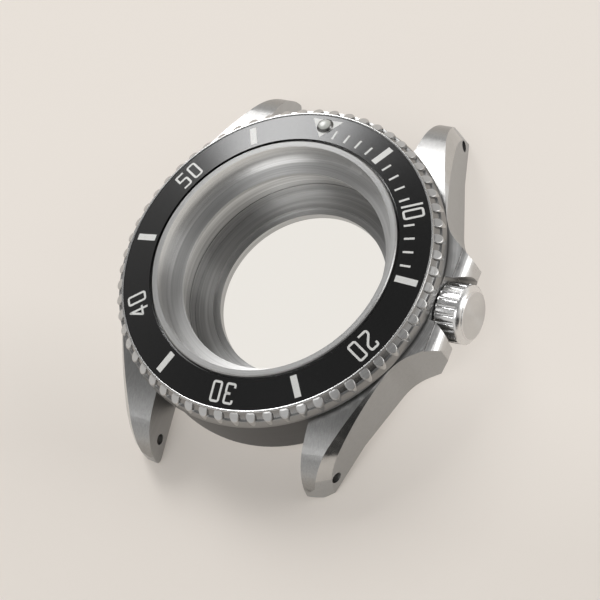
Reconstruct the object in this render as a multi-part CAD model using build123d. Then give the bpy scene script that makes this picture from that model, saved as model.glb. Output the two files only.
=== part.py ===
from build123d import *
import os
from math import atan, cos, pi

# An empty diver's watch case, lying on its back.
# The origin is the centre of the back's underside. Z runs along the bore towards the eye,
# X towards the crown at three o'clock and Y towards twelve o'clock. Lengths are millimetres.

overrun = 3.0                   # how far every cutting solid runs past what it cuts
running_gap = 0.1               # radial gap between pieces that turn or slide on each other
fit_gap = 0.05                  # radial gap of a loose push fit
bead_sides = 6                  # flats round the section of a soft seal

# Case middle: the plan outline
lug_gap = 20.2                  # free width between two lugs, for a 20 mm strap
lug_to_lug = 48.0               # over the tips of the lugs
wall_radius = 19.55             # round wall between the lugs, and the deck under the bezel
side_reach = 19.8               # bore axis to the flank at nine o'clock
shoulder_x = 17.8               # where the round flank turns into the straight lug flank
shoulder_y = 9.6
lug_corner_x = 12.85            # corner where the flank meets the end of the lug
lug_corner_y = 23.3
lug_corner_radius = 1.5
guard_root_y = 8.4              # the crown guard grows out of the lug flank here
guard_root_radius = 6.0
guard_tip_x = 22.45
guard_tip_y = 5.6
guard_tip_radius = 0.8
guard_inner_y = 2.8             # the guard's plan runs this close to the crown before the scoop

# Case middle: heights
back_flange_height = 1.4        # how far the back stands proud of the case middle
case_height = 5.95              # case middle, from its back face to the bezel's seat
lug_heel_z = 0.06               # where the underside rounds up into the tip
lug_foot_y = 16.9               # where the underside starts to run down to the lug tip
lug_heel_y = 23.2
lug_tip_z = 0.7                 # height of the foremost point of the lug
lug_bend_y = 19.8               # where the long curve of the top turns into the tip's curve
lug_bend_z = 5.9
lug_flat_y = 11.0               # where the flat top starts to curve down
bevel_start_y = 9.6             # polished bevel along the outer top edge of each lug
bevel_full_y = 21.0             # where the bevel is at its widest
bevel_width = 0.98
bevel_drop_share = 0.7          # the bevel drops this share of its run outwards
bevel_lead_share = 0.7          # and turns back this share of it, so that it wraps round the lug's end
guard_step_x = 21.0             # the guards are stepped down outside this line
guard_step = 0.25
guard_nose_top = 5.35
guard_nose_bottom = 3.7
guard_nose_radius = 1.0
guard_chin_radius = 1.5         # below the nose
guard_bulge = 0.3               # the facet above the nose bulges this much

# Case middle: bores
deck_depth = 1.5                # the flat deck is at least this deep where the lugs curve down
crystal_ledge = 0.5             # width of the ledge that the crystal rests on
neck_wall = 0.75
neck_height = 3.1               # above the bezel's seat
neck_chamfer = 0.12
crystal_seat_depth = 2.95       # from the top of the neck to the crystal's shelf
rehaut_height = 0.8
movement_radius = 13.5
back_thread_radius = 15.9
back_thread_depth = 1.65
lug_hole_radius = 0.65          # drilled right through each pair of lugs
lug_hole_y = 21.55
lug_hole_z = 1.9

# Rehaut, the sloping ring between crystal and dial
rehaut_ledge = 0.4              # width of the ledge under the rehaut
rehaut_width = 1.3
rehaut_drop = 0.38
rehaut_edge = 0.06

# Screwed back with an open window seat
back_radius = 17.0
back_thread_gap = 0.05
back_top_gap = 0.05             # between the back's neck and the end of its thread
back_cavity_radius = 13.4
window_seat_radius = 11.2
window_seat_depth = 0.5
window_radius = 10.45
back_floor = 1.45               # thickness of the back at its floor
back_chamfer = 0.3
key_count = 6                   # slots for the case key
key_width = 2.6
key_reach = 1.3
key_depth = 0.6
back_seal_margin = 0.4          # the seal's middle stands this far outside the thread
back_seal_section = 0.3

# Bezel
bezel_gap = 0.2                 # under the bezel
bezel_height = 2.1              # underside to the rim
rim_width = 0.25                # polished rim round the insert
valley_run = 0.47               # the valleys between the teeth slope out this far from the rim
ledge_width = 0.3               # flat ledge at the foot of the valleys
lip_flare = 0.23                # the lip leans out this far from the ledge to the foot
lip_height = 1.15
foot_height = 0.3
foot_chamfer = 0.07
rim_height = 0.05               # rim above the edge of the insert
rim_chamfer = 0.05
tooth_count = 60
tooth_radius = 0.55             # each tooth is a round upright bar that grows out of the lip
tooth_crest_gap = 0.03          # the teeth stand this much inside the foot
tooth_shoulder_inset = 0.3      # inside this line the tops of the teeth slope gently, outside steeply
tooth_shoulder_height = 1.75
tooth_brow_height = 1.3
click_count = 120
click_depth = 0.3
click_width_share = 0.92        # of the pitch at the inner radius
bezel_rest_angle = 0.9          # the bezel stands a hair short of its zero

# Insert, its adhesive and the pip at twelve
insert_bore_gap = 0.2           # the bezel's bore shows this wide inside the insert
insert_width = 3.55
insert_side_gap = 0.03
insert_thickness = 0.6
insert_rise = 0.74              # how much higher the inner edge lies than the outer edge
adhesive_thickness = 0.05
adhesive_margin = 0.35
pip_from_edge = 1.45            # outer edge of the insert to the middle of the pip
pip_radius = 0.85
pip_wall = 0.2
pip_floor = 0.15
pip_proud = 0.28
lume_crown = 0.16

# Bezel wire, gasket and click spring
wire_thickness = 0.4
wire_height = 1.55              # above the bezel's seat
wire_groove_depth = 0.22
wire_open_angle = 14
wire_bezel_groove_depth = 0.26
gasket_width = 0.5
gasket_height = 0.7
gasket_relief_width = 0.6
gasket_relief_height = 0.55
click_recess_depth = 0.42
spring_neck_gap = 1.8           # between the neck and the click spring
spring_width = 1.45
spring_side_gap = 0.2           # between the click spring and the sides of its recess
spring_thickness = 0.18
spring_open_angle = 24
tongue_count = 3
tongue_length = 3.2
tongue_width = 0.8
tongue_rise = 0.5
click_pin_radius = 0.3
click_pin_length = 1.1
click_pin_angle = 30            # each pin from the middle of the spring's opening

# Crown, its tube and what is inside them
crown_axis_z = 4.1
crown_radius = 3.45
crown_start_x = 20.35           # inner end of the crown when it is screwed down
crown_end_x = 23.7
crown_face_radius = 2.84
crown_face_height = 0.16
crown_shoulder = 0.42
crown_shoulder_drop = 0.45
flute_count = 24
flute_radius = 0.3
flute_depth = 0.19
flute_end = 0.28                # flutes stop this far below the shoulder
scoop_radius = 4.1              # the guards are hollowed round the crown
scoop_flare = 0.15
recess_floor_x = 20.1
crown_wall = 0.9                # end wall of the crown
tube_radius = 1.75
tube_bore_radius = 1.2
tube_start_x = 16.2
tube_end_x = 22.3
tube_chamfer = 0.15
sleeve_radius = 1.1
sleeve_bore_radius = 0.85
sleeve_start_x = 19.65
seal_places_x = (20.85, 21.65)
seal_section = 0.165
seal_groove_width = 0.4
seal_groove_depth = 0.25
tube_gasket_thickness = 0.35
retainer_thickness = 0.3
post_radius = 0.7
post_start_x = 14.6
piston_thickness = 0.4
piston_start_x = 21.2
stem_hole_radius = 0.45
stem_hole_depth = 3.0
stem_passage_radius = 0.8
spring_wire = 0.2
spring_coil_radius = 0.6
spring_turns = 3

# Heights and radii that follow
case_bottom = back_flange_height
case_top = case_bottom + case_height
rehaut_radius = movement_radius + rehaut_ledge
rehaut_hole_radius = rehaut_radius - rehaut_width
neck_inner_radius = rehaut_radius + crystal_ledge
neck_outer_radius = neck_inner_radius + neck_wall
neck_top = case_top + neck_height
crystal_shelf = neck_top - crystal_seat_depth
rehaut_floor = crystal_shelf - rehaut_height
back_thread_top = case_bottom + back_thread_depth
back_seal_radius = back_thread_radius + back_seal_margin
bezel_bottom = case_top + bezel_gap
rim_top = bezel_bottom + bezel_height
insert_edge = rim_top - rim_height
bezel_bore_radius = neck_outer_radius + running_gap
insert_inner_radius = bezel_bore_radius + insert_bore_gap
insert_outer_radius = insert_inner_radius + insert_width
pip_radius_on_dial = insert_outer_radius - pip_from_edge
recess_radius = insert_outer_radius + insert_side_gap
rim_outer_radius = insert_outer_radius + rim_width
valley_radius = rim_outer_radius + valley_run
lip_radius = valley_radius + ledge_width
bezel_radius = lip_radius + lip_flare
tooth_shoulder_radius = bezel_radius - tooth_shoulder_inset
spring_inner_radius = neck_outer_radius + spring_neck_gap
spring_outer_radius = spring_inner_radius + spring_width
click_recess_inner = spring_inner_radius - spring_side_gap
click_recess_outer = spring_outer_radius + spring_side_gap
click_outer_radius = spring_outer_radius - fit_gap
lug_inner_x = lug_gap / 2
lug_tip_y = lug_to_lug / 2


def turned(*points, arc=360):
    """A solid turned about Z from points of (radius, height)."""
    section = make_face(Plane.XZ * Polyline(*points, close=True))
    return revolve(section, Axis.Z, revolution_arc=arc)


def ring(inner, outer, low, high):
    """A plain ring about Z."""
    return turned((inner, low), (outer, low), (outer, high), (inner, high))


def disc(radius, low, high):
    """A plain round bar about Z."""
    return Pos(0, 0, low) * Cylinder(radius, high - low, align=(Align.CENTER, Align.CENTER, Align.MIN))


def bead(radius, section, height):
    """A soft ring about Z, its round section drawn with a few flats."""
    plane = Plane(origin=(radius, 0, height), x_dir=(1, 0, 0), z_dir=(0, -1, 0))
    return revolve(plane * RegularPolygon(section, bead_sides), Axis.Z)


def on_crown_axis(solid):
    """Turns a solid made about Z onto the crown's axis, so that its heights become X."""
    return Plane(origin=(0, 0, crown_axis_z), x_dir=(0, 1, 0), z_dir=(1, 0, 0)).location * solid


def insert_height(radius):
    """Height of the insert's top, a shallow cone, at a radius."""
    slope = insert_rise / (insert_outer_radius - insert_inner_radius)
    return insert_edge + slope * (insert_outer_radius - radius)


# Case middle
def flank_x(y):
    """Where the straight flank of a lug stands at a distance y from the crown's axis."""
    share = (y - shoulder_y) / (lug_corner_y - shoulder_y)
    return shoulder_x + (lug_corner_x - shoulder_x) * share


def plan_outline():
    """The case seen from above: four lugs, a round flank and two crown guards."""
    left = [
        Line((-lug_inner_x, lug_tip_y), (-lug_corner_x, lug_corner_y)),
        Line((-lug_corner_x, lug_corner_y), (-shoulder_x, shoulder_y)),
        ThreePointArc((-shoulder_x, shoulder_y), (-side_reach, 0), (-shoulder_x, -shoulder_y)),
        Line((-shoulder_x, -shoulder_y), (-lug_corner_x, -lug_corner_y)),
        Line((-lug_corner_x, -lug_corner_y), (-lug_inner_x, -lug_tip_y)),
    ]
    guard_root_x = flank_x(guard_root_y)
    right = [
        (-lug_inner_x, -lug_tip_y),
        (lug_inner_x, -lug_tip_y),
        (lug_corner_x, -lug_corner_y),
        (guard_root_x, -guard_root_y),
        (guard_tip_x, -guard_tip_y),
        (guard_tip_x, -guard_inner_y),
        (recess_floor_x, -guard_inner_y),
        (recess_floor_x, guard_inner_y),
        (guard_tip_x, guard_inner_y),
        (guard_tip_x, guard_tip_y),
        (guard_root_x, guard_root_y),
        (lug_corner_x, lug_corner_y),
        (lug_inner_x, lug_tip_y),
        (-lug_inner_x, lug_tip_y),
    ]
    outline = make_face([*left, Polyline(*right)])
    for x, y, radius in (
        (lug_corner_x, lug_corner_y, lug_corner_radius),
        (guard_root_x, guard_root_y, guard_root_radius),
        (guard_tip_x, guard_tip_y, guard_tip_radius),
    ):
        corners = [
            v for v in outline.vertices()
            if abs(abs(v.X) - x) < fit_gap and abs(abs(v.Y) - y) < fit_gap
        ]
        outline = fillet(corners, radius)
    return outline


def strap_gaps():
    """The two gaps between the lugs, down to the round wall, in plan."""
    reach = lug_tip_y + overrun
    return Rectangle(lug_gap, 2 * reach) - Circle(wall_radius)


def lug_top_arcs():
    """The top of the lugs seen from the side: a long flat arc, then the tip's tight one."""
    long_arc = TangentArc((lug_flat_y, case_top), (lug_bend_y, lug_bend_z), tangent=(1, 0))
    tip_arc = TangentArc((lug_bend_y, lug_bend_z), (lug_tip_y, lug_tip_z), tangent=long_arc % 1)
    return long_arc, tip_arc


def side_half():
    """Half of the case seen from the crown, in distances from the bore axis and heights."""
    long_arc, tip_arc = lug_top_arcs()
    foot = (lug_foot_y, case_bottom)
    heel = (lug_heel_y, lug_heel_z)
    along = (lug_heel_y - lug_foot_y, lug_heel_z - case_bottom)
    heel_arc = TangentArc(heel, (lug_tip_y, lug_tip_z), tangent=along)
    rest = Polyline(heel, foot, (0, case_bottom), (0, case_top), (lug_flat_y, case_top))
    return make_face([long_arc, tip_arc, heel_arc, rest])


def lug_end_y(x):
    """Where the slanted end of a lug stands at a distance x from the bore axis."""
    share = (x - lug_inner_x) / (lug_corner_x - lug_inner_x)
    return lug_tip_y + (lug_corner_y - lug_tip_y) * share


def bevel_cutter():
    """What stands outside the polished bevel of the lug at positive X and Y."""
    def run_to_edge(y):
        rise = (y - bevel_start_y) / (bevel_full_y - bevel_start_y)
        return flank_x(y) - bevel_width * min(rise, 1) - lug_inner_x

    def carried(y, z):
        run = run_to_edge(y)
        return (y + bevel_lead_share * run, z + bevel_drop_share * run)

    long_arc, tip_arc = lug_top_arcs()
    start = carried(bevel_start_y, case_top)
    flat_end = carried(lug_flat_y, case_top)
    bend = carried(lug_bend_y, lug_bend_z)
    middles = [carried(point.X, point.Y) for point in (long_arc @ (1 / 2), tip_arc @ (1 / 2))]
    end = carried(lug_end_y(lug_inner_x + run_to_edge(lug_tip_y)), lug_tip_z)
    arcs = [ThreePointArc(flat_end, middles[0], bend), ThreePointArc(bend, middles[1], end)]
    sky = case_top + case_height + bevel_drop_share * lug_tip_y
    far = lug_tip_y + lug_corner_x + overrun
    lid = Polyline(end, (end[0], -lug_tip_y), (far, -lug_tip_y), (far, sky), (start[0], sky), start)
    face = make_face([Line(start, flat_end), *arcs, lid])
    seat = Plane(origin=(lug_inner_x, 0, 0), x_dir=(0, 1, 0), z_dir=(1, 0, 0))
    return extrude(seat * face, lug_tip_y, dir=(1, -bevel_lead_share, -bevel_drop_share))


def guard_profile():
    """The case seen from six o'clock: flat, with a guard that is stepped and pointed."""
    step_z = case_top - guard_step
    below = [
        (guard_step_x, case_top),
        (-lug_tip_y, case_top),
        (-lug_tip_y, 0),
        (guard_step_x, 0),
        (guard_step_x, case_bottom),
        (guard_tip_x, guard_nose_bottom),
        (guard_tip_x, guard_nose_top),
    ]
    facet = SagittaArc((guard_tip_x, guard_nose_top), (guard_step_x, step_z), -guard_bulge)
    step = Line((guard_step_x, step_z), (guard_step_x, case_top))
    profile = make_face([Polyline(*below), facet, step])
    for z, radius in ((guard_nose_top, guard_nose_radius), (guard_nose_bottom, guard_chin_radius)):
        corner = [
            v for v in profile.vertices()
            if abs(v.X - guard_tip_x) < fit_gap and abs(v.Y - z) < fit_gap
        ]
        profile = fillet(corner, radius)
    return profile


def crown_seat():
    """The hollow round the crown and the bores behind it, made along Z for the crown's axis."""
    reach = guard_tip_x + overrun
    flare = scoop_flare * (reach - recess_floor_x) / (guard_tip_x - recess_floor_x)
    hollow = turned(
        (0, recess_floor_x),
        (scoop_radius, recess_floor_x),
        (scoop_radius + flare, reach),
        (0, reach),
    )
    tube_hole = disc(tube_radius, tube_start_x, recess_floor_x + overrun)
    stem_hole = disc(stem_passage_radius, movement_radius - overrun, tube_start_x + overrun)
    return on_crown_axis(hollow + tube_hole + stem_hole)


def case_bores():
    """Everything that is bored out along the case's axis, from the crystal to the back."""
    crystal = disc(neck_inner_radius, crystal_shelf, neck_top + overrun)
    rehaut = disc(rehaut_radius, rehaut_floor, crystal_shelf + overrun)
    movement = disc(movement_radius, case_bottom - overrun, rehaut_floor + overrun)
    thread = disc(back_thread_radius, case_bottom - overrun, back_thread_top)
    return crystal + rehaut + movement + thread


def deck_and_neck():
    """The flat deck under the bezel and the thin neck that holds the crystal and guides the bezel."""
    foot = case_top - deck_depth
    return turned(
        (rehaut_radius, foot),
        (wall_radius, foot),
        (wall_radius, case_top),
        (neck_outer_radius, case_top),
        (neck_outer_radius, neck_top - neck_chamfer),
        (neck_outer_radius - neck_chamfer, neck_top),
        (neck_inner_radius, neck_top),
        (neck_inner_radius, crystal_shelf),
        (rehaut_radius, crystal_shelf),
    )


def wire_groove(inner, outer):
    """The groove for the bezel's wire, cut into the neck and into the bezel alike."""
    height = case_top + wire_height
    half = wire_thickness / 2 + fit_gap
    return ring(inner, outer, height - half, height + half)


def click_pin_places():
    """Where the two pins of the click spring stand."""
    middle = (spring_inner_radius + spring_outer_radius) / 2
    return [
        Rot(0, 0, side * click_pin_angle) * Pos(0, -middle, 0)
        for side in (-1, 1)
    ]


def case_middle():
    """Lugs, guards and neck in one piece, bored for the movement, the back and the crown."""
    blank = extrude(plan_outline() - strap_gaps(), case_top)
    half = extrude(Plane.YZ * side_half(), guard_tip_x + overrun, both=True)
    blank = blank & (half + mirror(half, Plane.XZ))
    blank = blank & extrude(Plane.XZ * guard_profile(), lug_tip_y + overrun, both=True)
    bevel = bevel_cutter()
    beside = mirror(bevel, Plane.YZ)
    blank -= [bevel, mirror(bevel, Plane.XZ), beside, mirror(beside, Plane.XZ)]
    blank = blank + deck_and_neck()
    blank -= case_bores()
    blank -= crown_seat()
    blank -= wire_groove(neck_outer_radius - wire_groove_depth, neck_outer_radius + overrun)
    blank -= ring(click_recess_inner, click_recess_outer, case_top - click_recess_depth, case_top + overrun)
    pin_low = case_top - click_recess_depth - click_pin_length
    blank -= [place * disc(click_pin_radius, pin_low, case_top) for place in click_pin_places()]
    bar = Pos(0, 0, lug_hole_z) * Rot(0, 90, 0) * Cylinder(lug_hole_radius, 2 * side_reach)
    blank -= [Pos(0, side * lug_hole_y, 0) * bar for side in (-1, 1)]
    return blank


# What is held inside the case middle
def rehaut_ring():
    """A thin ring pressed into the case, sloping down from the crystal to the dial."""
    return turned(
        (rehaut_hole_radius, rehaut_floor),
        (rehaut_radius, rehaut_floor),
        (rehaut_radius, crystal_shelf),
        (rehaut_radius - rehaut_edge, crystal_shelf),
        (rehaut_hole_radius, crystal_shelf - rehaut_drop),
    )


def back_ring():
    """The screwed back: a flange with key slots, a neck for the thread and a bare window seat."""
    neck_radius = back_thread_radius - back_thread_gap
    neck_end = back_thread_top - back_top_gap
    body = turned(
        (window_radius, 0),
        (back_radius - back_chamfer, 0),
        (back_radius, back_chamfer),
        (back_radius, case_bottom),
        (neck_radius, case_bottom),
        (neck_radius, neck_end),
        (back_cavity_radius, neck_end),
        (back_cavity_radius, back_floor),
        (window_seat_radius, back_floor),
        (window_seat_radius, back_floor - window_seat_depth),
        (window_radius, back_floor - window_seat_depth),
    )
    groove_half = back_seal_section + fit_gap
    body -= ring(
        back_seal_radius - groove_half,
        back_seal_radius + groove_half,
        case_bottom - 2 * back_seal_section,
        case_bottom + overrun,
    )
    slot = Pos(back_radius - key_reach / 2, 0, 0) * Box(key_reach, key_width, 2 * key_depth)
    slot = slot + Pos(back_radius, 0, 0) * Box(key_reach, key_width, 2 * key_depth)
    return body - [Rot(0, 0, 360 * i / key_count) * slot for i in range(key_count)]


def back_gasket():
    """The seal between the back and the case."""
    return bead(back_seal_radius, back_seal_section, case_bottom - back_seal_section)


def bezel_wire():
    """The open spring wire that keeps the bezel on its neck."""
    low = case_top + wire_height - wire_thickness / 2
    inner = neck_outer_radius - wire_groove_depth + fit_gap
    wire = turned(
        (inner, low),
        (inner + wire_thickness, low),
        (inner + wire_thickness, low + wire_thickness),
        (inner, low + wire_thickness),
        arc=360 - wire_open_angle,
    )
    return Rot(0, 0, 90 + wire_open_angle / 2) * wire


def bezel_gasket():
    """The flat soft ring under the bezel's inner edge, which rests on the case."""
    inner = neck_outer_radius + fit_gap
    return ring(inner, inner + gasket_width, case_top, case_top + gasket_height)


def click_spring():
    """An open flat ring with bent tongues that drop into the teeth under the bezel."""
    low = case_top - click_recess_depth
    high = low + spring_thickness
    middle = (spring_inner_radius + spring_outer_radius) / 2
    plate = turned(
        (spring_inner_radius, low),
        (spring_outer_radius, low),
        (spring_outer_radius, high),
        (spring_inner_radius, high),
        arc=360 - spring_open_angle,
    )
    plate = Rot(0, 0, -90 + spring_open_angle / 2) * plate
    window = Box(tongue_length + tongue_width, tongue_width + 2 * fit_gap, overrun)
    root = -tongue_length / 2
    blade = make_face(Polyline(
        (root - tongue_width, low),
        (root, low),
        (root + tongue_length, low + tongue_rise),
        (root + tongue_length, low + tongue_rise + spring_thickness),
        (root, high),
        (root - tongue_width, high),
        close=True,
    ))
    tongue = extrude(Plane.XZ * blade, tongue_width / 2, both=True)
    for i in range(tongue_count):
        place = Rot(0, 0, 360 * i / tongue_count) * Pos(0, middle, 0)
        plate -= place * Pos(0, 0, low) * window
        plate += place * tongue
    return plate - [place * disc(click_pin_radius, low - overrun, case_top) for place in click_pin_places()]


def click_pins():
    """Two pins that keep the click spring from turning with the bezel."""
    low = case_top - click_recess_depth - click_pin_length
    return Compound([place * disc(click_pin_radius, low, case_top) for place in click_pin_places()])


def crown_tube():
    """The tube that is pressed into the case, with two seal grooves in its bore."""
    tube = turned(
        (tube_bore_radius, tube_start_x),
        (tube_radius, tube_start_x),
        (tube_radius, tube_end_x - tube_chamfer),
        (tube_radius - tube_chamfer, tube_end_x),
        (tube_bore_radius, tube_end_x),
    )
    half = seal_groove_width / 2
    for place in seal_places_x:
        tube -= ring(0, tube_bore_radius + seal_groove_depth, place - half, place + half)
    return on_crown_axis(tube)


def tube_seals():
    """The two seals that grip the crown's sleeve."""
    centre = tube_bore_radius + seal_groove_depth - seal_section - fit_gap / 10
    return Compound([on_crown_axis(bead(centre, seal_section, place)) for place in seal_places_x])


# Bezel
def bezel_body():
    """The bezel with a sloping valley all round, before its teeth are added."""
    floor_drop = insert_thickness + adhesive_thickness
    bore_top = insert_height(bezel_bore_radius) - floor_drop
    floor_edge = insert_height(recess_radius) - floor_drop
    return turned(
        (bezel_bore_radius, bezel_bottom),
        (bezel_radius - foot_chamfer, bezel_bottom),
        (bezel_radius, bezel_bottom + foot_chamfer),
        (bezel_radius, bezel_bottom + foot_height),
        (lip_radius, bezel_bottom + lip_height),
        (valley_radius, bezel_bottom + lip_height),
        (rim_outer_radius + rim_chamfer, rim_top - rim_chamfer),
        (rim_outer_radius, rim_top),
        (recess_radius, rim_top),
        (recess_radius, floor_edge),
        (bezel_bore_radius, bore_top),
    )


def edge_tooth():
    """One grip tooth at three o'clock, a round bar whose top follows the bezel's turned brow."""
    low = bezel_bottom + foot_height
    place = bezel_radius - tooth_crest_gap - tooth_radius
    bar = Pos(place, 0, 0) * disc(tooth_radius, low, rim_top)
    shoulder = bezel_bottom + tooth_shoulder_height
    brow = bezel_bottom + tooth_brow_height
    steep = (shoulder - brow) / (bezel_radius - tooth_shoulder_radius)
    beyond = bezel_radius + rim_chamfer
    envelope = turned(
        (rim_outer_radius - tooth_radius, low),
        (beyond, low),
        (beyond, brow - steep * rim_chamfer),
        (tooth_shoulder_radius, shoulder),
        (rim_outer_radius + rim_chamfer, rim_top - rim_chamfer),
        (rim_outer_radius, rim_top - rim_chamfer),
        (rim_outer_radius - tooth_radius, rim_top - rim_chamfer),
    )
    return bar & envelope


def click_notch():
    """One sawtooth notch of the ratchet under the bezel."""
    width = click_width_share * 2 * pi * spring_inner_radius / click_count
    notch = make_face(Polyline(
        (-width / 2, bezel_bottom),
        (width / 2, bezel_bottom),
        (width / 2, bezel_bottom + click_depth),
        close=True,
    ))
    long = click_outer_radius - spring_inner_radius
    return Pos(0, -spring_inner_radius, 0) * extrude(Plane.XZ * notch, long)


def bezel_ring():
    """The turning bezel: grip teeth outside, a seat for the insert and a ratchet below."""
    body = bezel_body()
    tooth = edge_tooth()
    body += [Rot(0, 0, 360 * i / tooth_count) * tooth for i in range(tooth_count)]
    notch = click_notch()
    body -= [Rot(0, 0, 360 * i / click_count) * notch for i in range(click_count)]
    relief = bezel_bore_radius + gasket_relief_width
    body -= ring(0, relief, bezel_bottom - overrun, bezel_bottom + gasket_relief_height)
    body -= wire_groove(0, bezel_bore_radius + wire_bezel_groove_depth)
    return Rot(0, 0, bezel_rest_angle) * body


def cone_ring(inner, outer, drop, thickness):
    """A ring that lies a given drop below the insert's top and slopes with it."""
    return turned(
        (inner, insert_height(inner) - drop),
        (outer, insert_height(outer) - drop),
        (outer, insert_height(outer) - drop - thickness),
        (inner, insert_height(inner) - drop - thickness),
    )


def pip_seat():
    """The frame of the pip, square to the sloping insert at the bezel's zero."""
    slope = insert_rise / (insert_outer_radius - insert_inner_radius)
    origin = (0, pip_radius_on_dial, insert_height(pip_radius_on_dial))
    seat = Plane(origin=origin, x_dir=(1, 0, 0), z_dir=(0, slope, 1)).location
    return Rot(0, 0, bezel_rest_angle) * seat


def pip_depth():
    """Thickness of the insert measured square to its slope."""
    slope = insert_rise / (insert_outer_radius - insert_inner_radius)
    return insert_thickness * cos(atan(slope))


def bezel_insert():
    """The sloping dial ring, with a hole for the pip."""
    body = cone_ring(insert_inner_radius, insert_outer_radius, 0, insert_thickness)
    return body - pip_seat() * disc(pip_radius, -overrun, overrun)


def insert_adhesive():
    """The thin bonding ring under the insert."""
    inner = insert_inner_radius + adhesive_margin
    outer = insert_outer_radius - adhesive_margin
    return cone_ring(inner, outer, insert_thickness, adhesive_thickness)


def pip_cup():
    """The metal cup of the pip."""
    low = -pip_depth()
    cup = turned(
        (0, low),
        (pip_radius, low),
        (pip_radius, pip_proud - pip_wall / 2),
        (pip_radius - pip_wall / 2, pip_proud),
        (pip_radius - pip_wall, pip_proud),
        (pip_radius - pip_wall, low + pip_floor),
        (0, low + pip_floor),
    )
    return pip_seat() * cup


def pip_lume():
    """The domed filling of the pip."""
    radius = pip_radius - pip_wall
    low = pip_floor - pip_depth()
    bulge = (radius ** 2 + lume_crown ** 2) / (2 * lume_crown)
    filling = disc(radius, low, pip_proud + lume_crown)
    dome = Pos(0, 0, pip_proud + lume_crown - bulge) * Sphere(bulge)
    return pip_seat() * (filling & dome)


# Crown
def crown_head():
    """The fluted crown: a thread cavity for the tube and a sleeve that runs inside the tube."""
    shoulder_x_end = crown_end_x - crown_face_height
    cavity_radius = tube_radius + running_gap
    cavity_end = crown_end_x - crown_wall
    body = turned(
        (0, crown_start_x),
        (crown_radius, crown_start_x),
        (crown_radius, shoulder_x_end - crown_shoulder),
        (crown_radius - crown_shoulder_drop, shoulder_x_end),
        (crown_face_radius, shoulder_x_end),
        (crown_face_radius, crown_end_x),
        (0, crown_end_x),
    )
    flute_centre = crown_radius - flute_depth + flute_radius
    flute_top = shoulder_x_end - crown_shoulder - flute_end
    flute = Pos(flute_centre, 0, 0) * disc(flute_radius, crown_start_x - overrun, flute_top)
    body -= [Rot(0, 0, 360 * i / flute_count) * flute for i in range(flute_count)]
    body -= disc(cavity_radius, crown_start_x - overrun, cavity_end)
    body += ring(0, sleeve_radius, sleeve_start_x, cavity_end)
    return on_crown_axis(body - disc(sleeve_bore_radius, sleeve_start_x - overrun, cavity_end))


def crown_gasket():
    """The flat seal at the bottom of the crown's cavity, which meets the end of the tube."""
    inner = sleeve_radius + fit_gap
    high = crown_end_x - crown_wall
    return on_crown_axis(ring(inner, tube_radius + fit_gap, high - tube_gasket_thickness, high))


def crown_retainer():
    """The small ring that keeps the post in the sleeve."""
    high = sleeve_start_x + retainer_thickness
    return on_crown_axis(ring(post_radius + running_gap / 2, sleeve_bore_radius, sleeve_start_x, high))


def crown_post():
    """The post that carries the winding stem, with a piston that slides in the sleeve."""
    post = disc(post_radius, post_start_x, piston_start_x)
    post += disc(sleeve_bore_radius - fit_gap, piston_start_x, piston_start_x + piston_thickness)
    hole = disc(stem_hole_radius, post_start_x - overrun, post_start_x + stem_hole_depth)
    return on_crown_axis(post - hole)


def crown_spring():
    """The coil spring that pushes the crown off its tube when it is unscrewed."""
    low = piston_start_x + piston_thickness + spring_wire / 2
    high = crown_end_x - crown_wall - spring_wire / 2
    path = Helix(pitch=(high - low) / spring_turns, height=high - low, radius=spring_coil_radius)
    section = Plane(origin=path @ 0, z_dir=path % 0) * Rectangle(spring_wire, spring_wire)
    return on_crown_axis(Pos(0, 0, low) * sweep(section, path=path, is_frenet=True))


pieces = {
    "case_middle": case_middle,
    "rehaut_ring": rehaut_ring,
    "back_ring": back_ring,
    "back_gasket": back_gasket,
    "bezel_wire": bezel_wire,
    "bezel_gasket": bezel_gasket,
    "click_spring": click_spring,
    "click_pins": click_pins,
    "crown_tube": crown_tube,
    "tube_seals": tube_seals,
    "bezel_ring": bezel_ring,
    "bezel_insert": bezel_insert,
    "insert_adhesive": insert_adhesive,
    "pip_cup": pip_cup,
    "pip_lume": pip_lume,
    "crown_head": crown_head,
    "crown_gasket": crown_gasket,
    "crown_retainer": crown_retainer,
    "crown_post": crown_post,
    "crown_spring": crown_spring,
}

os.makedirs("parts", exist_ok=True)
for name, make in pieces.items():
    solid = make()
    export_step(solid, f"parts/{name}.step")
    print(name, "volume", round(solid.volume, 3))
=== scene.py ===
# %% [markdown]
# # An empty diver's watch case
# This lesson dresses a steel watch case that holds no movement, no dial and no crystal.
# Its solids were made as an assembly of real parts, and they arrive here as a fixed frame.
# The frame says where every part sits and what moves with what. Blender adds the finishes,
# the fine edges, the printed minutes and the threads.

# %% Load the frame
from math import atan, cos, hypot, pi, radians, sin, sqrt, tau

import bmesh
import bpy
from mathutils import Matrix, Vector


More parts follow.
